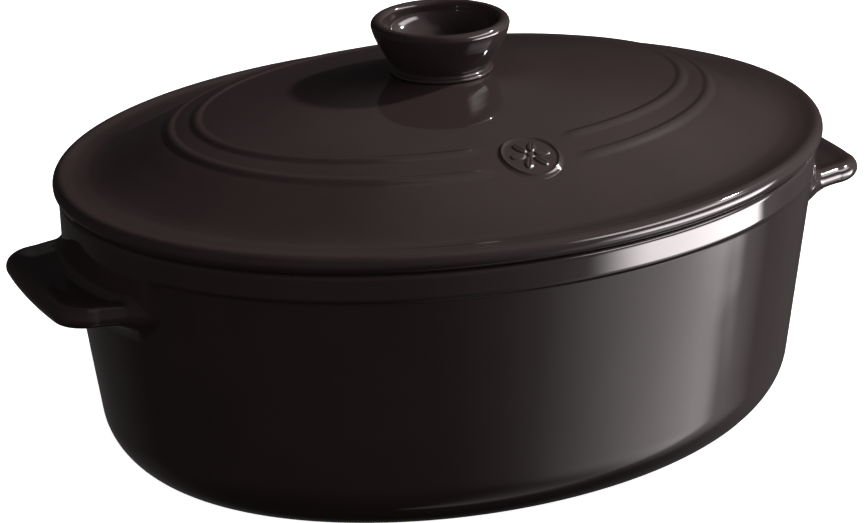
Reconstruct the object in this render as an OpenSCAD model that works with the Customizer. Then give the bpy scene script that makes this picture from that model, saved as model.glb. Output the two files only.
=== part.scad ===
// Covered oval casserole: a pot with two lug handles, and a domed lid with a hollow knob.
// The long axis is X and up is Z. The origin is the middle of the foot, on the ground.
// Plan outlines are ellipses, and each one is given by how far it lies inside the lid's edge.

/* [Lid] */
// Length of the lid
lid_l = 340; // [320:1:360]
// Width of the lid
lid_w = 273; // [260:1:290]
// Thickness of the rolled edge
edge_t = 8; // [7:0.5:9]
// Width of the flat gutter between the rolled edge and the dome
gutter_w = 14.5; // [12:0.5:16]
// Height of the dome's top above the middle of the edge
dome_h = 34; // [32:0.5:38]
// Thickness of the dome
dome_t = 7; // [5:0.5:8]
// Height of the two raised arcs above the dome
arc_h = 1.2; // [0.5:0.1:2]
// Depth of the flange that keeps the lid in the mouth
flange_h = 9; // [6:0.5:12]

/* [Pot] */
// Height of the pot's rim above the ground
pot_h = 124.7; // [115:0.1:135]
// Gap between the rim and the lid that rests on it
seat_gap = 0.3; // [0.2:0.1:0.5]
// How far the rim band lies inside the lid's edge
band_in = 2.2; // [1.5:0.1:3]
// Height of the rim band
band_h = 11.5; // [9:0.5:14]
// How far the band stands out from the wall
band_step = 1.3; // [0.8:0.1:2]
// How far the wall draws in for each millimetre below the rim
wall_taper = 0.128; // [0.1:0.002:0.15]
// Thickness of the wall
wall_t = 7.5; // [6:0.5:9]
// Thickness of the floor
floor_t = 8; // [7:0.5:10]
// Height of the rounded corner between the wall and the foot
corner_h = 28; // [26:1:30]
// Width of the rounded corner in plan
corner_w = 31; // [28:1:33]

/* [Handles] */
// Height of the middle of the handle's rolled lip
handle_z = 97.5; // [92:0.5:100]
// How far the lip reaches beyond the lid's edge
handle_out = 20; // [14:0.5:24]
// Width of the handle at its lip
handle_w = 84; // [76:1:90]
// Thickness of the lip
lip_t = 9; // [8:0.5:10]
// Depth of the dished top below the lip's crest
dish = 2.4; // [1:0.1:3]

/* [Knob] */
// Diameter of the knob's mouth
knob_d = 59; // [54:1:64]
// Diameter of the knob's neck
neck_d = 41; // [38:1:44]
// Height of the knob above the dome
knob_h = 23; // [20:0.5:26]
// Depth of the hollow in the knob
hollow_h = 16; // [12:0.5:17]

/* [Badge] */
// Diameter of the round badge
badge_d = 27; // [22:1:28]
// How far the badge's middle lies in front of the knob's axis
badge_y = 83.7; // [82:0.1:85]
// Slope of the dome under the badge, in degrees
badge_tilt = 16; // [14:0.5:18]

/* [Hidden] */
glaze = [0.17, 0.14, 0.14];
half_l = lid_l / 2;
half_w = lid_w / 2;
sides = 72;              // corners of each oval ring
foot_in = 41;            // how far the foot's edge lies inside the lid's edge
foot_w = 9;              // width of the foot
foot_recess = 1.2;       // depth of the recess that the foot surrounds
lug_half_w = 50;         // half the width over which the band runs down into a handle
lug_blend = 10;          // distance along Y over which it does so
lug_drop = 16;           // how far it runs down
mouth_in = band_in + wall_t + 0.8;
flange_gap = 2;          // gap between the flange and the mouth
flange_t = 6;
seat_z = pot_h + seat_gap;
edge_z = seat_z + edge_t / 2;
knob_r = knob_d / 2;
neck_r = neck_d / 2;
flat_r = neck_r + 2.5;   // half width of the round flat that the knob stands on
dome_z = edge_z + dome_h;
oval = half_l - half_w;  // how much longer than wide a ring is, at the lid's edge
badge_r = badge_d / 2;
badge_t = 2.4;

// Smooth step from 0 at a to 1 at b.
function ease(a, b, x) = let (t = min(1, max(0, (x - a) / (b - a)))) t * t * (3 - 2 * t);

// Oval ring: drop is how far inside the lid's edge it lies.
function ring(drop, z) = [for (i = [0:sides - 1])
    let (a = 360 * i / sides) [(half_l - drop) * cos(a), (half_w - drop) * sin(a), z]];

// Closed solid through a stack of rings of equal count, the first and last of them capped.
module loft(rings) {
    n = len(rings[0]);
    last = len(rings) - 1;
    skin = [for (k = [0:last - 1], i = [0:n - 1])
        let (a = k * n + i, b = k * n + (i + 1) % n)
        each [[a, b + n, b], [a, a + n, b + n]]];
    start_cap = [[for (i = [0:n - 1]) i]];
    end_cap = [[for (i = [n - 1:-1:0]) last * n + i]];
    polyhedron([for (r = rings) each r], concat(start_cap, skin, end_cap));
}

// ---- Pot ----

// The wall's distance inside the lid's edge: a straight taper and an elliptical bottom corner.
function corner(z, h, w) = z >= h ? 0 : w * (1 - sqrt(1 - pow((h - z) / h, 2)));
function wall_in(z) = band_in + band_step + wall_taper * (pot_h - band_h - z)
    + corner(z, corner_h, corner_w);

// The band's lower edge runs level and dips beside the handles.
function band_z(y) = pot_h - band_h - lug_drop * (1 - ease(lug_half_w, lug_half_w + lug_blend, abs(y)));

// Outer ring of the pot at height z, with the band where z is above its lower edge.
function outer_ring(z) = [for (i = [0:sides - 1])
    let (a = 360 * i / sides,
         y = half_w * sin(a),
         bare = wall_in(z),
         near_end = abs(cos(a)) > 0.5 ? 1 : 0,
         edge = near_end * band_z(y) + (1 - near_end) * (pot_h - band_h),
         on_band = ease(edge - 0.8, edge + 0.8, z),
         drop = bare + (band_in - bare) * on_band)
    [(half_l - drop) * cos(a), (half_w - drop) * sin(a), z]];

module bowl() {
    band_low = pot_h - band_h;
    rim_r = 1.8;
    rim_arc = [for (a = [0:30:90]) [band_in + rim_r * (1 - cos(a)), pot_h - rim_r + rim_r * sin(a)]];
    inner_h = corner_h - 5;
    inner_w = corner_w - 5;
    inner_levels = [pot_h - 14, 90, 55, floor_t + inner_h];
    inner_corner = [for (t = [75:-15:0])
        floor_t + inner_h * (1 - sin(t))];
    function inner_in(z) = wall_t + band_in + band_step + wall_taper * (pot_h - band_h - z)
        + corner(z - floor_t, inner_h, inner_w);
    color(glaze)
    loft(concat(
        [ring(foot_in + foot_w + 1, foot_recess), ring(foot_in + foot_w, 0), ring(foot_in, 0)],
        [for (z = [1.2, 3.5, 7, 12, 18, corner_h, 60, 86]) outer_ring(z)],
        [for (z = [92, 95, 99, 104, 109, band_low - 0.8, band_low, band_low + 0.8]) outer_ring(z)],
        [for (p = rim_arc) ring(p[0], p[1])],
        [ring(mouth_in - 1.5, pot_h), ring(mouth_in, pot_h - 1.5)],
        [for (z = inner_levels) ring(inner_in(z), z)],
        [for (z = [for (i = [len(inner_corner) - 1:-1:0]) inner_corner[i]]) if (z < floor_t + inner_h - 0.1)
            ring(inner_in(z), z)]
    ));
}

// ---- Handles ----

// X of the middle of the pot's wall, where a handle is rooted.
function root_x(y, z) = let (drop = band_in + 3.6) (half_l - drop) * sqrt(1 - pow(y / (half_w - drop), 2));

// Cross-section of a handle: t runs from 0 at the root to 1 at the lip.
// The plate is dished on top and thicker at the root, and it ends in the rounded lip.
function lug_half(t) = lug_half_w - 2 + (handle_w / 2 - lug_half_w + 2) * ease(0, 0.6, t)
    - 13 * pow(max(0, (t - 0.55) / 0.45), 2.6);
function lug_thick(t) = (1 - ease(0, 0.35, t)) * 7 + lip_t
    - (lip_t - 2) * pow(max(0, (t - 0.86) / 0.14), 3);
function lug_point(t, a) =
    let (half = lug_half(t),
         thick = lug_thick(t),
         u = sign(cos(a)) * pow(abs(cos(a)), 0.45),
         v = sign(sin(a)) * pow(abs(sin(a)), 0.75),
         y = half * u,
         hollow = v > 0 ? dish * (1 - pow(u, 4)) * ease(0.1, 0.3, t) * (1 - ease(0.6, 0.88, t)) : 0,
         z = handle_z + 0.5 * (1 - t) + v * thick / 2 - hollow * v,
         tip = half_l + handle_out - 5 * pow(y / lug_half_w, 2),
         x0 = root_x(y, z))
    [x0 + (tip - x0) * t, y, z];

function lug_root(k) = [for (i = [0:lug_n - 1])
    let (p = lug_point(0, 360 * i / lug_n), y = p[1] * k, z = handle_z + (p[2] - handle_z) * k)
    [root_x(y, z), y, z]];

lug_n = 32;
lug_steps = [0, 0.12, 0.24, 0.36, 0.5, 0.62, 0.74, 0.84, 0.92, 0.97, 1];

module lug() {
    color(glaze)
    loft(concat(
        [for (k = [0.3, 0.65]) lug_root(k)],
        [for (t = lug_steps) [for (i = [0:lug_n - 1]) lug_point(t, 360 * i / lug_n)]]
    ));
}

module handle_right() { lug(); }

module handle_left() { mirror([1, 0, 0]) lug(); }

// ---- Lid ----

// Ring of the lid by its half width r: round at the knob and oval at the edge.
function stretch(r) = oval * (1 - pow(1 - ease_line(flat_r, half_w, r), 4));
function ease_line(a, b, x) = min(1, max(0, (x - a) / (b - a)));

// Height of the raised arcs: they stop on each side of the badge.
function arc_gap(x, y) = y > 0 ? 1 : ease(18, 27, abs(x));

function lid_ring(r, z, raise = 0) = [for (i = [0:sides - 1])
    let (a = 360 * i / sides, x = (r + stretch(r)) * cos(a), y = r * sin(a))
    [x, y, z + raise * arc_gap(x, y)]];

// The dome's profile from the knob outwards: half width, height and share of the arcs' height.
crown = [[flat_r, dome_h, 0], [40, dome_h - 3.2, 0], [58, dome_h - 6.7, 0], [70, dome_h - 9.2, 0],
    [73.5, dome_h - 9.9, 1], [76.5, dome_h - 11.2, 0.6], [79, dome_h - 12.6, 0], [85, dome_h - 14.2, 0],
    [88, dome_h - 14.9, 1], [91, dome_h - 16.4, 0.6], [94, dome_h - 18.2, 0], [103, dome_h - 22.6, 0],
    [112, dome_h - 27, 0], [118, dome_h - 29.6, 0], [half_w - gutter_w, dome_h - 30.9, 0]];

module lid_dome() {
    roll = [for (a = [90:-30:-60]) [half_w - edge_t / 2 + edge_t / 2 * cos(a), edge_t / 2 * sin(a)]];
    flange_out = mouth_in + flange_gap;
    under = [for (i = [len(crown) - 1:-1:0]) if (crown[i][0] < half_w - flange_out - flange_t - 4
        && crown[i][2] == 0) crown[i]];
    color(glaze)
    loft(concat(
        [for (p = crown) lid_ring(p[0], edge_z + p[1], arc_h * p[2])],
        [for (p = roll) lid_ring(p[0], edge_z + p[1])],
        [lid_ring(half_w - edge_t / 2, seat_z), lid_ring(half_w - flange_out, seat_z)],
        [lid_ring(half_w - flange_out - 0.8, seat_z - flange_h + 1.5)],
        [lid_ring(half_w - flange_out - 2.3, seat_z - flange_h)],
        [lid_ring(half_w - flange_out - flange_t + 1.2, seat_z - flange_h)],
        [lid_ring(half_w - flange_out - flange_t, seat_z - flange_h + 1.5)],
        [for (p = under) lid_ring(p[0] - 2, edge_z + p[1] - dome_t)]
    ));
}

// ---- Knob ----

// A hollow cup on a short neck, turned about Z. Its foot bead stands on the dome's round flat.
module knob() {
    lip_r = 2.4;
    lip = [for (a = [-30:30:180]) [knob_r - lip_r + lip_r * cos(a), knob_h - lip_r + lip_r * sin(a)]];
    flare = [for (t = [0:0.2:0.8])
        [neck_r + (knob_r - 1.2 - neck_r) * pow(t, 1.9), 4 + (knob_h - 9) * t]];
    cup_r = knob_r - 2 * lip_r;
    cup = [for (a = [15:15:90])
        [cup_r * pow(cos(a), 0.7), knob_h - lip_r - (hollow_h - lip_r) * pow(sin(a), 0.8)]];
    color(glaze)
    translate([0, 0, dome_z])
    rotate_extrude($fn = 96)
    polygon(concat([[0, 0], [neck_r + 1, 0], [neck_r + 1.6, 0.8], [neck_r + 1, 1.8], [neck_r, 2.6]],
        flare, lip, cup));
}

// ---- Badge ----

// A round boss on the slope of the dome, with a raised ring and a six-petalled rosette.
module lid_badge() {
    petals = 6;
    ring_w = 1.8;
    relief = 0.7;
    petal_l = badge_r - ring_w - 2.6;
    color(glaze)
    translate([0, -badge_y, edge_z + dome_h - 14.1])
    rotate([badge_tilt, 0, 0])
    translate([0, 0, -1]) {
        cylinder(r = badge_r, h = badge_t, $fn = 64);
        translate([0, 0, badge_t - 0.1]) {
            difference() {
                cylinder(r = badge_r, h = relief + 0.1, $fn = 64);
                translate([0, 0, -1]) cylinder(r = badge_r - ring_w, h = relief + 3, $fn = 64);
            }
            for (i = [0:petals - 1]) rotate(360 * i / petals)
                linear_extrude(relief + 0.1)
                intersection() {
                    translate([1.6, petal_l / 2 + 1]) circle(r = petal_l / 2, $fn = 48);
                    translate([-1.6, petal_l / 2 + 1]) circle(r = petal_l / 2, $fn = 48);
                }
            cylinder(r = 1.6, h = relief + 0.1, $fn = 32);
        }
    }
}

bowl();
handle_left();
handle_right();
lid_dome();
knob();
lid_badge();
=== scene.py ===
import math

import bmesh
import bpy
import numpy as np
from mathutils import Matrix, Vector


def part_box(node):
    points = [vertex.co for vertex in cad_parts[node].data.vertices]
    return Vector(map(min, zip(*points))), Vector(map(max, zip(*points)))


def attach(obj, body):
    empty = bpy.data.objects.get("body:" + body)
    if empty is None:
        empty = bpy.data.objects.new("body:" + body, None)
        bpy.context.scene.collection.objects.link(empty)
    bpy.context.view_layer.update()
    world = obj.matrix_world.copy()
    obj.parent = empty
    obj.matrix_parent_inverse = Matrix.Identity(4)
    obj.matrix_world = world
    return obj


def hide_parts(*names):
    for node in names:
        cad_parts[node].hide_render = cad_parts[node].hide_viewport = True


# A covered oval casserole in dark gloss glaze. Shapes are worked out in millimetres in the
# frame's own axes: X along the dish, -Y towards the badge, Z up. add_mesh() turns them into metres.
# Plan outlines are ellipses, and "drop" is how far one lies inside the edge of the lid.

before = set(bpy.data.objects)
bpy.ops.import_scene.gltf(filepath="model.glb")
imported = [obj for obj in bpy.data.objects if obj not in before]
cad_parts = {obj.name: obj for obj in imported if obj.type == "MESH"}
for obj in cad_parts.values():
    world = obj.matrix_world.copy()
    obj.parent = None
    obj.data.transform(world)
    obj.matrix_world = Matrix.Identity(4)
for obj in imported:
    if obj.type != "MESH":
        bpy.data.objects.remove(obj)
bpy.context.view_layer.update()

MM = 0.001


def node_box(node):
    low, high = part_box(node)
    return np.array(low) / MM, np.array(high) / MM


# ---- Sizes from the frame, in millimetres ----

HALF_L, HALF_W, _ = node_box("lid_dome")[1]
POT_H = node_box("bowl")[1][2]
KNOB_Z = node_box("knob")[0][2]
KNOB_R, _, KNOB_TOP = node_box("knob")[1]
LUG_TIP = node_box("handle_right")[1][0]

# ---- Driving dimensions that the frame doesn't carry ----

SEAT_GAP = 0.3          # between the pot's rim and the lid
EDGE_R = 4.0            # radius of the lid's rolled edge
DOME_T = 7.0
FLANGE_H = 9.0
FLANGE_GAP = 2.0        # between the flange and the mouth
FLANGE_T = 6.0
BAND_IN = 2.2           # the rim band's drop
BAND_H = 11.5
BAND_STEP = 1.3         # from the band down to the wall below it
RIM_R = 1.9             # rounding of the rim's two edges
WALL_TAPER = 0.128
WALL_T = 7.5
RIM_EXTRA = 0.8         # how much thicker the rim is than the wall
FLOOR_T = 8.0
CORNER_H, CORNER_W = 28.0, 31.0     # the rounded corner between the wall and the foot
CORNER_T = 5.0          # how much smaller that corner is on the inside
FOOT_IN, FOOT_W, FOOT_RECESS = 41.0, 9.0, 1.2
LUG_HALF = 53.0         # half width of the raised root above each handle
LUG_Z = 97.5            # middle of the handle's lip
LIP_R = 4.5
BADGE_R = 13.5
BADGE_Y = -83.7

SEAT_Z = POT_H + SEAT_GAP
EDGE_Z = SEAT_Z + EDGE_R
DOME_H = KNOB_Z - EDGE_Z
KNOB_H = KNOB_TOP - KNOB_Z
MOUTH_IN = BAND_IN + WALL_T + RIM_EXTRA
BAND_LOW = POT_H - BAND_H

AROUND = 360            # mesh columns around each oval


# ---- Small tools ----

def ease(a, b, x):
    """Smooth step from 0 at a to 1 at b."""
    t = np.clip((np.asarray(x, float) - a) / (b - a), 0.0, 1.0)
    return t * t * (3 - 2 * t)


def spline(knots, x):
    """Smooth monotone curve through (x, y) knots."""
    kx, ky = np.array(knots, float).T
    h, slope = np.diff(kx), np.diff(ky) / np.diff(kx)
    m = np.zeros(len(kx))
    same = slope[:-1] * slope[1:] > 0
    w1, w2 = 2 * h[1:] + h[:-1], h[1:] + 2 * h[:-1]
    safe = np.where(same, slope[:-1] * slope[1:], 1)
    m[1:-1] = np.where(same, (w1 + w2) * safe / (w1 * slope[1:] + w2 * slope[:-1] + 1e-12 * ~same), 0)
    m[0], m[-1] = slope[0], slope[-1]
    x = np.clip(x, kx[0], kx[-1])
    i = np.clip(np.searchsorted(kx, x) - 1, 0, len(h) - 1)
    t = (x - kx[i]) / h[i]
    return ((2 * t**3 - 3 * t**2 + 1) * ky[i] + (t**3 - 2 * t**2 + t) * h[i] * m[i]
            + (3 * t**2 - 2 * t**3) * ky[i + 1] + (t**3 - t**2) * h[i] * m[i + 1])


def arc(cx, cy, rx, ry, start, stop, steps):
    """Points of an elliptical arc, from start to stop degrees."""
    a = np.radians(np.linspace(start, stop, steps + 1))
    return np.c_[cx + rx * np.cos(a), cy + ry * np.sin(a)]


def add_mesh(name, verts, faces):
    mesh = bpy.data.meshes.new(name)
    mesh.from_pydata((np.asarray(verts) * MM).tolist(), [], faces)
    mesh.validate()
    mesh.shade_smooth()
    piece = bpy.data.objects.new(name, mesh)
    bpy.context.collection.objects.link(piece)
    return piece


def tube_faces(rows, around):
    """Four-sided faces between each closed ring of points and the next."""
    k, i = np.meshgrid(np.arange(rows - 1), np.arange(around), indexing="ij")
    a, b = k * around + i, k * around + (i + 1) % around
    return np.stack([a, b, b + around, a + around], -1).reshape(-1, 4).tolist()


def skin(name, rings):
    """Closed mesh through rings of equal count, with a pole in the first and the last."""
    rings = np.asarray(rings, float)
    rows, around = rings.shape[:2]
    verts = np.vstack([rings.reshape(-1, 3), rings[0].mean(0), rings[-1].mean(0)])
    first_pole, last_pole = rows * around, rows * around + 1
    last_row = (rows - 1) * around
    faces = tube_faces(rows, around)
    faces += [[first_pole, (j + 1) % around, j] for j in range(around)]
    faces += [[last_pole, last_row + j, last_row + (j + 1) % around] for j in range(around)]
    return add_mesh(name, verts, faces)


def crowded_angles():
    """Column angles, closer together where the sides of the handles' roots fall."""
    crowding, reach = 2.4, 5.0
    fine = np.linspace(0, 2 * np.pi, 7201)
    weight = 1 + crowding * np.exp(-((np.abs(np.sin(fine)) * HALF_W - LUG_HALF) / reach) ** 2)
    total = np.r_[0, np.cumsum((weight[1:] + weight[:-1]) / 2)]
    return np.interp(np.linspace(0, total[-1], AROUND, endpoint=False), total, fine)


angles = crowded_angles()
COS, SIN = np.cos(angles), np.sin(angles)


# ---- Lid ----

FLAT_R = 23.0           # the lid's rings are circles out to here
# Height of the crown above the rolled edge's middle, by half width of the ring.
CROWN = [(0, DOME_H), (21, DOME_H), (26, DOME_H - 0.5), (40, DOME_H - 3.2), (58, DOME_H - 6.7),
         (74, DOME_H - 10.5), (88, DOME_H - 15.0), (103, DOME_H - 22.4), (112, DOME_H - 26.8),
         (118, DOME_H - 29.3), (122.5, DOME_H - 30.5), (127, DOME_H - 30.8), (132.5, EDGE_R)]
ARCS = ((108.4, 76.0), (119.8, 90.0))   # half length and half width of the raised arcs' crests
ARC_H = 0.85
ARC_RISE = (-3.0, -0.3)     # across an arc, from its crest, where it rises and where it falls
ARC_FALL = (0.2, 3.4)
ARC_END = (17, 27)          # how far from the badge's middle the arcs run out


def stretch(r):
    """How much longer than wide the lid's ring of half width r is."""
    t = np.clip((np.asarray(r, float) - FLAT_R) / (HALF_W - FLAT_R), 0, 1)
    return (HALF_L - HALF_W) * (1 - (1 - t) ** 4)


def arc_relief(x, y):
    """Height of the arcs: a rise to each crest and a slightly longer fall outside it."""
    h = np.zeros_like(x)
    for long, wide in ARCS:
        reach = np.hypot(x / long, y / wide) + 1e-9
        out = (reach - 1) * reach / np.hypot(x / long**2, y / wide**2).clip(1e-6)
        h = np.maximum(h, ARC_H * np.minimum(ease(*ARC_RISE, out), 1 - ease(*ARC_FALL, out)))
    return h


def arc_fade(x, y):
    """The arcs run out on each side of the badge."""
    return np.where(y > 0, 1.0, ease(*ARC_END, np.abs(x)))


def crown_at(r, x, y):
    """Height of the lid's top at (x, y), on the ring of half width r."""
    return EDGE_Z + spline(CROWN, r) + arc_relief(x, y) * arc_fade(x, y)


def ring_of(x, y):
    """Half width of the lid's ring through (x, y)."""
    low, high = np.zeros_like(x), np.full_like(x, HALF_W)
    for _ in range(40):
        mid = (low + high) / 2
        inside = (x / (mid + stretch(mid) + 1e-9)) ** 2 + (y / (mid + 1e-9)) ** 2 < 1
        low, high = np.where(inside, low, mid), np.where(inside, mid, high)
    return (low + high) / 2


def lid_section():
    """The lid's edge, flange and underside as (half width, height), from the edge's top inwards."""
    edge_in = HALF_W - EDGE_R
    flange_r = HALF_W - MOUTH_IN - FLANGE_GAP
    flange_low = SEAT_Z - FLANGE_H
    root_r, tip_r = 1.2, 2.6        # rounding where the flange starts and at its free edge
    under_r = np.linspace(flange_r - FLANGE_T - 3.5, 0.5, 32)
    return np.vstack([
        arc(edge_in, EDGE_Z, EDGE_R, EDGE_R, 84, -84, 22),
        [(edge_in, SEAT_Z), (edge_in - 2.5, SEAT_Z), (flange_r + 2, SEAT_Z)],
        arc(flange_r + root_r, SEAT_Z - root_r, -root_r, root_r, 80, 0, 5),
        [(flange_r - 0.1, SEAT_Z - 3.5), (flange_r - 0.2, flange_low + 3)],
        arc(flange_r - tip_r - 0.2, flange_low + tip_r, tip_r, -tip_r, 0, 90, 7),
        arc(flange_r - FLANGE_T + tip_r, flange_low + tip_r, -tip_r, -tip_r, 90, 0, 7),
        [(flange_r - FLANGE_T - 0.2, SEAT_Z - 3), (flange_r - FLANGE_T - 0.9, SEAT_Z + 1.4),
         (flange_r - FLANGE_T - 2, SEAT_Z + 3.6)],
        np.c_[under_r, EDGE_Z + spline(CROWN, under_r + 2) - DOME_T]])


def make_lid():
    # The rings are closest together across the arcs.
    top_r = np.concatenate([np.linspace(0.5, 23, 10), np.linspace(24.5, 70, 32),
                            np.linspace(70.4, 96, 96), np.linspace(97, HALF_W - EDGE_R, 44)])
    rings = []
    for r in top_r:
        x, y = (r + stretch(r)) * COS, r * SIN
        rings.append(np.c_[x, y, crown_at(np.full_like(x, r), x, y)])
    for r, z in lid_section():
        rings.append(np.c_[(r + stretch(r)) * COS, r * SIN, np.full(AROUND, z)])
    return skin("lid_dome_glazed", rings)


# ---- Badge ----

PETALS = 6
PETAL_R, PETAL_REACH = 5.4, 3.5     # a petal's middle and half its length, from the badge's middle
PETAL_HALF, PETAL_H = 2.0, 0.75     # half its width and its height
HEART_R = 1.7
RING_R = 11.9
BADGE_SLOPE = math.radians(16)      # of the dome under the badge


def badge_relief(rho, phi):
    """Height of the badge above the dome: a soft rim, a thin ring and a rosette of petals."""
    rise = 0.6 * (1 - ease(BADGE_R - 2.0, BADGE_R + 0.6, rho))
    ring = 0.42 * np.exp(-((rho - RING_R) / 0.55) ** 2)
    field = -0.2 * (1 - ease(RING_R - 1.5, RING_R - 0.5, rho))
    turn = np.mod(phi + np.pi / PETALS, 2 * np.pi / PETALS) - np.pi / PETALS
    along, across = rho * np.cos(turn), rho * np.sin(turn)
    half = PETAL_HALF * np.sqrt(np.clip(1 - ((along - PETAL_R) / PETAL_REACH) ** 2, 0, 1))
    petal = np.sqrt(np.clip(1 - (across / np.maximum(half, 1e-3)) ** 2, 0, 1)) * np.minimum(1, half / 1.2)
    vein = 0.3 * np.exp(-(across / 0.28) ** 2) * ease(2.2, 3.2, along)
    heart = PETAL_H * np.sqrt(np.clip(1 - (rho / HEART_R) ** 2, 0, 1))
    return rise + ring + field + (PETAL_H - vein) * petal + heart


def make_badge():
    rho = np.concatenate([np.linspace(0.12, 10, 84), np.linspace(10.1, BADGE_R, 30)])
    phi = np.linspace(0, 2 * np.pi, 252, endpoint=False)
    rings = []
    for d in rho:
        x, y = d * np.cos(phi), BADGE_Y + d * np.sin(phi) * math.cos(BADGE_SLOPE)
        z = crown_at(ring_of(x, y), x, y) + badge_relief(np.full_like(phi, d), phi)
        rings.append(np.c_[x, y, z])
    rim = rings[-1]
    for sink, grow in ((0.25, 0.25), (1.5, 0.0)):
        low = rim.copy()
        low[:, 0] *= 1 + grow / BADGE_R
        low[:, 1] = BADGE_Y + (low[:, 1] - BADGE_Y) * (1 + grow / BADGE_R)
        low[:, 2] -= sink
        rings.append(low)
    return skin("lid_badge_glazed", rings)


# ---- Knob ----

def knob_section():
    """Half of the knob's section as (radius, height), from under its foot round into its cup."""
    lip, cup_depth = 2.6, 15.5
    lip_r, lip_z = KNOB_R - lip, KNOB_H - lip
    foot = arc(20.9, 0.9, 1.3, 0.95, -50, 75, 9)
    cone = [(20.55, 2.3), (20.75, 3.2), (21.6, 4.4), (22.9, 6.2), (24.5, 8.6), (25.9, 11.0), (27.1, 13.3),
            (28.2, 15.8), (28.9, 17.8)]
    roll = arc(lip_r, lip_z, lip, lip, -15, 165, 26)
    cup_r = lip_r - lip + 0.1
    cup = arc(0, lip_z, cup_r, -(cup_depth - lip), 8, 88.5, 30)
    cup[:, 0] = cup_r * (cup[:, 0] / cup_r) ** 0.8
    return np.vstack([[(0.5, 0.0), (17.5, 0.0)], foot, cone, roll, cup])


def make_knob():
    section = knob_section()
    rows, around = 190, 200
    length = np.r_[0, np.cumsum(np.hypot(*np.diff(section, axis=0).T))]
    even = np.linspace(0, length[-1], rows)
    turn = np.linspace(0, 2 * np.pi, around, endpoint=False)
    rings = []
    for r, z in zip(np.interp(even, length, section[:, 0]), np.interp(even, length, section[:, 1])):
        rings.append(np.c_[r * np.cos(turn), r * np.sin(turn), np.full(around, KNOB_Z + z)])
    return skin("knob_glazed", rings)


# ---- Pot ----

ROOT_PINCH = 10.0       # how much narrower a handle's raised root is below the handle
ROOT_BELOW = 8.0        # how far the root reaches below the lip's middle
BAND_EASE = 1.3         # half the height over which the band runs into the wall


def corner(z, height, width):
    """Drop that a rounded corner adds to the wall at height z above the corner's foot."""
    t = np.clip((height - z) / height, 0, 1)
    return width * (1 - np.sqrt(1 - t * t))


def wall_drop(z):
    return BAND_IN + BAND_STEP + WALL_TAPER * (BAND_LOW - z)


def smooth_max(a, b, k):
    """The larger of a and b, rounded over where they are within k of each other."""
    h = np.clip(0.5 + 0.5 * (a - b) / k, 0, 1)
    return b + (a - b) * h + k * h * (1 - h)


def outer_drop(end, y, z):
    """Drop of the pot's outside: the wall, the rim band and the raised roots of the handles.
    end is how far along the dish a point is, from 0 in the middle to 1 at either end."""
    near_end = np.where(np.abs(end) > 0.5, 0.0, 100.0)
    in_band = z - BAND_LOW
    side = LUG_HALF - ROOT_PINCH * ease(LUG_Z, LUG_Z - 15, z) - np.abs(y)
    in_root = -smooth_max(-side, (LUG_Z - ROOT_BELOW - z) / 3, 3.0) - near_end
    raised = ease(-BAND_EASE, BAND_EASE, smooth_max(in_band, in_root * 0.5, 4.0))
    bare = wall_drop(z) + corner(z, CORNER_H, CORNER_W)
    return bare + (BAND_IN - bare) * raised


def inner_drop(z):
    return WALL_T + wall_drop(z) + corner(z - FLOOR_T, CORNER_H - CORNER_T, CORNER_W - CORNER_T)


def pot_ring(drop, z):
    return np.c_[(HALF_L - drop) * COS, (HALF_W - drop) * SIN, np.full(AROUND, z)]


def make_bowl():
    foot_inner = FOOT_IN + FOOT_W
    corner_top = FLOOR_T + CORNER_H - CORNER_T
    sections = [
        # Underside: the recess, then the foot ring.
        [(HALF_W - 1, FOOT_RECESS), (HALF_W - 20, FOOT_RECESS), (foot_inner + 1.4, FOOT_RECESS),
         (foot_inner + 0.7, FOOT_RECESS * 0.8), (foot_inner + 0.2, 0.2), (foot_inner, 0), (FOOT_IN, 0),
         (FOOT_IN - 0.4, 0.25)],
        # Outside, closest together round the corner and over the handles' roots and the band.
        [(outer_drop(COS, HALF_W * SIN, np.full(AROUND, z)), z) for z in np.concatenate([
            0.6 + (CORNER_H - 0.6) * np.linspace(0, 1, 34) ** 1.5, np.linspace(30, 64, 18),
            np.linspace(65, POT_H - 2.2, 116)])],
        arc(BAND_IN + RIM_R, POT_H - RIM_R, -RIM_R, RIM_R, 8, 88, 10),
        arc(MOUTH_IN - RIM_R, POT_H - RIM_R, RIM_R, RIM_R, 92, 172, 10),
        # Inside: the wall, its corner with the floor, and the floor.
        [(inner_drop(z), z) for z in np.linspace(POT_H - 12, corner_top, 30)],
        [(inner_drop(z), z) for z in FLOOR_T + (corner_top - FLOOR_T)
         * (1 - np.sin(np.radians(np.linspace(3, 88, 26))))],
        [(drop, FLOOR_T) for drop in np.linspace(inner_drop(FLOOR_T) + 3, HALF_W - 1, 14)]]
    return skin("bowl_glazed", [pot_ring(drop, z) for section in sections for drop, z in section])


# ---- Handles ----

ROOT_HALF, TIP_HALF = 47.0, 43.0    # half width of the plate at the wall and at the lip
PLAN_R = 14.0           # rounding of the lip's two ends in plan
TIP_BOW, BOW_HALF = 3.0, 42.0       # how far the lip's outline falls back, this far to each side
FLARE = 5.0             # how much the plate widens where it meets the wall
FILLET_TOP, FILLET_LOW = 3.6, 8.0
DISH_TOP, DISH_LOW = 1.7, 0.8       # depth of the plate's hollow above and below
BURIED = 0.4            # how far the plate's end lies inside the wall
FOLLOW = 12.0           # how far off the wall the plate still follows the wall's slope


def wall_x(y, z):
    """X of the pot's outside at the right end."""
    drop = np.full_like(y, 4.0)
    for _ in range(7):
        s = np.clip(y / (HALF_W - drop), -0.99, 0.99)
        x = (HALF_L - drop) * np.sqrt(1 - s * s)
        drop = outer_drop(np.sqrt(1 - s * s), HALF_W * s, z)
    return x


def lug_tip(y):
    return LUG_TIP - TIP_BOW * (y / BOW_HALF) ** 2


def round_in(depth, radius):
    """Height of a quarter circle at each depth from its edge."""
    return radius * np.sqrt(1 - (1 - np.clip(depth / radius, 0, 1)) ** 2)


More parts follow.
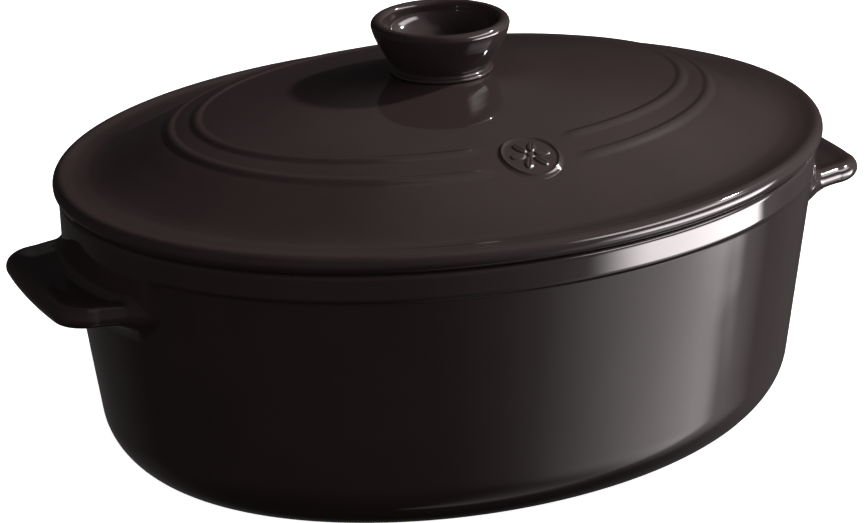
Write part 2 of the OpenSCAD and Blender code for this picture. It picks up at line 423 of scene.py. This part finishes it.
def fillet(off, radius):
    """What a fillet adds to half the plate's thickness at each distance off the wall."""
    return radius - np.sqrt(np.clip(radius**2 - np.clip(radius - off, 0, None) ** 2, 0, None))


def plate_half(off, length):
    """Half width of a handle at each distance off the wall."""
    half = ROOT_HALF + (TIP_HALF - ROOT_HALF) * np.clip(2 * off / length, 0, 1)
    half += fillet(off, FLARE)
    end = np.clip((off - (length - PLAN_R)) / PLAN_R, 0, 1)
    return half - PLAN_R * (1 - np.sqrt(1 - end * end))


def far_from(points, line):
    """Distance of each point from an open line of straight pieces."""
    best = np.full(len(points), 1e9)
    for a, b in zip(line[:-1], line[1:]):
        span = b - a
        t = np.clip((points - a) @ span / max(span @ span, 1e-12), 0, 1)
        best = np.minimum(best, np.hypot(*(points - a - t[:, None] * span).T))
    return best


def plate_side(edge, off, radius):
    """Half the plate's thickness, from the distances to its outline and off the wall."""
    grow = fillet(off, radius)
    lip = LIP_R + 1.4 * grow
    return round_in(edge, LIP_R) + grow * round_in(edge, lip) / lip


def make_handle(name, side):
    corner_x = float(wall_x(np.array([TIP_HALF]), np.array([LUG_Z]))[0])
    length = float(lug_tip(TIP_HALF)) - corner_x
    near = 0.5 * np.linspace(0.04, 1, 30) ** 1.8
    far = 0.5 + 0.5 * np.sin(np.linspace(0.03, 1, 44) * np.pi / 2)
    side_to_side = np.sin(np.linspace(-1, 1, 121) * np.pi / 2)
    along, across = np.meshgrid(np.r_[0, near, far], side_to_side, indexing="ij")
    y = plate_half(along * length, length) * across
    start = wall_x(y, np.full_like(y, LUG_Z))
    x = start + along * (lug_tip(y) - start)
    off = x - start

    outline = np.vstack([np.c_[x[:, 0], y[:, 0]], np.c_[x[-1], y[-1]], np.c_[x[::-1, -1], y[::-1, -1]]])
    edge = far_from(np.c_[x.ravel(), y.ravel()], outline).reshape(x.shape)
    edge[:, 0] = edge[:, -1] = edge[-1] = 0
    upper = plate_side(edge, off, FILLET_TOP) - DISH_TOP * ease(LIP_R - 1, LIP_R + 8, edge)
    lower = plate_side(edge, off, FILLET_LOW) - DISH_LOW * ease(LIP_R, LIP_R + 9, edge)
    top = np.stack([x, y, LUG_Z + upper], -1)
    low = np.stack([x, y, LUG_Z - lower], -1)
    # The root follows the wall at each point's own height.
    for part in (top, low):
        shift = wall_x(part[..., 1], part[..., 2]) - start
        part[..., 0] += shift * (1 - ease(0, FOLLOW, off))
        part[0, :, 0] -= BURIED

    loops = np.concatenate([top, low[:, -2:0:-1]], axis=1)
    loops[..., 0] *= side
    piece = add_mesh(name, loops.reshape(-1, 3), tube_faces(*loops.shape[:2]))
    weld(piece, 0.02 * MM)
    return piece


def weld(piece, reach):
    """Joins points that lie on each other, drops faces with no area and turns the rest outwards."""
    bm = bmesh.new()
    bm.from_mesh(piece.data)
    bmesh.ops.remove_doubles(bm, verts=bm.verts, dist=reach)
    bmesh.ops.dissolve_degenerate(bm, dist=reach * 0.5, edges=bm.edges)
    bmesh.ops.recalc_face_normals(bm, faces=bm.faces)
    bm.to_mesh(piece.data)
    bm.free()
    piece.data.shade_smooth()


# ---- Glaze ----

def glaze(name):
    """Dark brown clay colour with slight clouds and fine pits, under a clear gloss coat that has a
    slow swell in it."""
    mat = bpy.data.materials.new(name)
    mat.use_nodes = True
    nodes, links = mat.node_tree.nodes, mat.node_tree.links
    shader = nodes["Principled BSDF"]
    place = nodes.new("ShaderNodeTexCoord")

    def noise(scale, detail, roughness):
        node = nodes.new("ShaderNodeTexNoise")
        node.inputs["Scale"].default_value = scale
        node.inputs["Detail"].default_value = detail
        node.inputs["Roughness"].default_value = roughness
        links.new(place.outputs["Object"], node.inputs["Vector"])
        return node.outputs["Fac"]

    def bump(height, strength, distance):
        node = nodes.new("ShaderNodeBump")
        node.inputs["Strength"].default_value = strength
        node.inputs["Distance"].default_value = distance
        links.new(height, node.inputs["Height"])
        return node

    clouds = nodes.new("ShaderNodeValToRGB")
    links.new(noise(14.0, 5.0, 0.6), clouds.inputs["Fac"])
    for element, position, colour in zip(clouds.color_ramp.elements, (0.3, 0.7), (
            (0.0235, 0.0150, 0.0150, 1), (0.0300, 0.0195, 0.0195, 1))):
        element.position = position
        element.color = colour
    links.new(clouds.outputs["Color"], shader.inputs["Base Color"])

    swell = bump(noise(22.0, 1.5, 0.4), 0.25, 1.2 * MM)
    pits = bump(noise(520.0, 2.0, 0.6), 0.03, 0.3 * MM)
    links.new(swell.outputs["Normal"], pits.inputs["Normal"])
    links.new(pits.outputs["Normal"], shader.inputs["Normal"])
    links.new(swell.outputs["Normal"], shader.inputs["Coat Normal"])

    shader.inputs["Roughness"].default_value = 0.42
    shader.inputs["IOR"].default_value = 1.45
    shader.inputs["Specular IOR Level"].default_value = 0.02
    shader.inputs["Coat Weight"].default_value = 1.0
    shader.inputs["Coat Roughness"].default_value = 0.05
    shader.inputs["Coat IOR"].default_value = 1.5
    return mat


# ---- Pieces ----

pot_glaze, lid_glaze = glaze("pot_glaze"), glaze("lid_glaze")

for piece, node, body, slot, mat in (
        (make_bowl(), "bowl", "pot", "pot_glaze", pot_glaze),
        (make_handle("handle_left_glazed", -1), "handle_left", "pot", "pot_glaze", pot_glaze),
        (make_handle("handle_right_glazed", 1), "handle_right", "pot", "pot_glaze", pot_glaze),
        (make_lid(), "lid_dome", "lid", "lid_glaze", lid_glaze),
        (make_knob(), "knob", "lid", "lid_glaze", lid_glaze),
        (make_badge(), "lid_badge", "lid", "badge_glaze", lid_glaze)):
    piece.data.materials.append(mat)
    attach(piece, body)
    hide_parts(node)


# ---- Floor, lights and camera ----

def make_floor():
    """White paper that hardly shades, and that the dish neither mirrors nor is lit by."""
    size = 6.0
    corners = [(-size, -size, 0), (size, -size, 0), (size, size, 0), (-size, size, 0)]
    mesh = bpy.data.meshes.new("floor")
    mesh.from_pydata(corners, [], [(0, 1, 2, 3)])
    floor = bpy.data.objects.new("floor", mesh)
    bpy.context.collection.objects.link(floor)
    mat = bpy.data.materials.new("floor_paper")
    mat.use_nodes = True
    shader = mat.node_tree.nodes["Principled BSDF"]
    shader.inputs["Base Color"].default_value = (0.86, 0.86, 0.86, 1)
    shader.inputs["Roughness"].default_value = 0.9
    shader.inputs["Specular IOR Level"].default_value = 0.0
    shader.inputs["Emission Color"].default_value = (1.0, 1.0, 1.0, 1)
    shader.inputs["Emission Strength"].default_value = 0.95
    mesh.materials.append(mat)
    floor.visible_glossy = False
    floor.visible_diffuse = False


def make_world():
    """Studio surround, by the direction it is seen in, as degrees of turn about Z and of tilt above
    the horizon: a softbox below eye level at the right front, a dimmer one above it, and a dark
    room that is lighter on that side."""
    world = bpy.data.worlds.new("studio")
    bpy.context.scene.world = world
    world.use_nodes = True
    nodes, links = world.node_tree.nodes, world.node_tree.links
    back = nodes["Background"]
    coord = nodes.new("ShaderNodeTexCoord")
    split = nodes.new("ShaderNodeSeparateXYZ")
    links.new(coord.outputs["Generated"], split.inputs["Vector"])
    path = nodes.new("ShaderNodeLightPath")
    ramp_top = 3.0          # brightness that a colour of 1 stands for in by_turn

    def maths(op, *values):
        """Output of a Math node on numbers or other nodes' outputs."""
        node = nodes.new("ShaderNodeMath")
        node.operation = op
        for socket, value in zip(node.inputs, values):
            if isinstance(value, (int, float)):
                socket.default_value = value
            else:
                links.new(value, socket)
        return node.outputs[0]

    def rise(source, start, stop):
        """Smooth step from 0 to 1."""
        node = nodes.new("ShaderNodeMapRange")
        node.interpolation_type = "SMOOTHSTEP"
        node.inputs["From Min"].default_value = start
        node.inputs["From Max"].default_value = stop
        links.new(source, node.inputs["Value"])
        return node.outputs["Result"]

    def between(source, a, b, c, d):
        """1 between b and c, running out to 0 at a and d."""
        return maths("MULTIPLY", rise(source, a, b), maths("SUBTRACT", 1.0, rise(source, c, d)))

    def by_turn(stops):
        """Brightness by the turn, from (degrees, brightness) stops."""
        node = nodes.new("ShaderNodeValToRGB")
        links.new(whole, node.inputs["Fac"])
        node.color_ramp.interpolation = "LINEAR"
        while len(node.color_ramp.elements) < len(stops):
            node.color_ramp.elements.new(0.5)
        for element, (degrees, value) in zip(node.color_ramp.elements, stops):
            element.position = degrees / 360 + 0.5
            element.color = (value / ramp_top, value / ramp_top, value / ramp_top, 1)
        return maths("MULTIPLY", node.outputs["Color"], ramp_top)

    def blend(share, a, b):
        """a where share is 0 and b where it is 1."""
        return maths("ADD", maths("MULTIPLY", a, maths("SUBTRACT", 1.0, share)),
                     maths("MULTIPLY", b, share))

    turn = maths("MULTIPLY", maths("ARCTAN2", split.outputs["Y"], split.outputs["X"]), 180 / math.pi)
    tilt = maths("MULTIPLY", maths("ARCSINE", split.outputs["Z"]), 180 / math.pi)
    whole = maths("ADD", maths("DIVIDE", turn, 360.0), 0.5)

    low = by_turn([(-180, 0.02), (-130, 0.01), (-115, 0.01), (-104, 0.02), (-93, 0.06), (-82, 0.15),
                   (-71, 0.36), (-60, 0.86), (-48, 1.5), (-35, 2.1), (-20, 2.9), (-15, 2.6), (-10, 0.9),
                   (8, 0.16), (60, 0.04), (90, 0.06), (125, 0.05), (145, 0.015), (180, 0.015)])
    low = maths("MULTIPLY", low, maths("ADD", 0.12, maths("MULTIPLY", 0.88, rise(tilt, -62, -36))))
    middle = by_turn([(-180, 0.05), (-110, 0.08), (-70, 0.34), (-10, 0.55), (10, 0.32), (30, 0.13),
                      (50, 0.03), (62, 0.015), (90, 0.015), (180, 0.05)])
    high = by_turn([(-180, 0.05), (-120, 0.06), (-90, 0.15), (-60, 0.4), (-20, 0.36), (10, 0.32),
                    (30, 0.25), (45, 0.2), (60, 0.14), (75, 0.07), (95, 0.03), (120, 0.03), (180, 0.04)])
    surround = blend(rise(tilt, 18, 42), blend(rise(tilt, -28, -12), low, middle), high)

    # What the glaze mirrors is much brighter than what lights it.
    low_box = maths("MULTIPLY", between(turn, -64, -44, -9, -3), between(tilt, -32, -19, -14, 4))
    high_box = maths("MULTIPLY", between(turn, -68, -54, -16, -8), between(tilt, 20, 27, 33, 41))
    softbox = maths("ADD", low_box, maths("MULTIPLY", 0.6, high_box))
    box_power = maths("SUBTRACT", 16.0, maths("MULTIPLY", 15.8, path.outputs["Is Diffuse Ray"]))
    total = maths("ADD", surround, maths("MULTIPLY", softbox, box_power))
    dim = maths("SUBTRACT", 1.0, maths("MULTIPLY", 0.7, path.outputs["Is Diffuse Ray"]))
    links.new(maths("MULTIPLY", total, dim), back.inputs["Strength"])
    back.inputs["Color"].default_value = (1.0, 0.93, 0.935, 1)


def area_light(name, place, aim, width, height, power, mirrored=True):
    """Rectangular lamp at place that faces aim. If it isn't mirrored, the glaze doesn't show it."""
    data = bpy.data.lights.new(name, "AREA")
    data.shape = "RECTANGLE"
    data.size, data.size_y = width, height
    data.energy = power
    lamp = bpy.data.objects.new(name, data)
    lamp.location = place
    lamp.rotation_euler = (Vector(aim) - Vector(place)).to_track_quat("-Z", "Y").to_euler()
    lamp.visible_glossy = mirrored
    bpy.context.collection.objects.link(lamp)


def make_camera():
    """Long lens, above the dish's left front, looking down at it."""
    place = Vector((-0.5222, -1.1398, 0.5629))
    turn, tilt, roll = math.radians(-24.35), math.radians(21.25), math.radians(-1.71)
    back = Vector((math.sin(turn) * math.cos(tilt), -math.cos(turn) * math.cos(tilt), math.sin(tilt)))
    right = Vector((math.cos(turn), math.sin(turn), 0))
    up = back.cross(right)
    rolled_right = right * math.cos(roll) + up * math.sin(roll)
    rolled_up = up * math.cos(roll) - right * math.sin(roll)
    basis = Matrix((rolled_right, rolled_up, back)).transposed()
    data = bpy.data.cameras.new("camera")
    data.sensor_width = 36.0
    data.lens = 128.4
    data.dof.use_dof = False
    camera = bpy.data.objects.new("camera", data)
    camera.matrix_world = Matrix.Translation(place) @ basis.to_4x4()
    bpy.context.collection.objects.link(camera)
    bpy.context.scene.camera = camera


bpy.context.scene.view_settings.view_transform = "Standard"
make_floor()
make_world()
area_light("key", (1.72, -0.21, 1.45), (0, 0, 0.1), 0.12, 0.12, 64)
area_light("fill", (-1.25, -1.15, 0.55), (0, 0, 0.1), 0.9, 0.5, 7, mirrored=False)
area_light("back_fill", (0.9, 2.0, 0.16), (0, 0, 0.08), 1.2, 0.3, 8, mirrored=False)
make_camera()
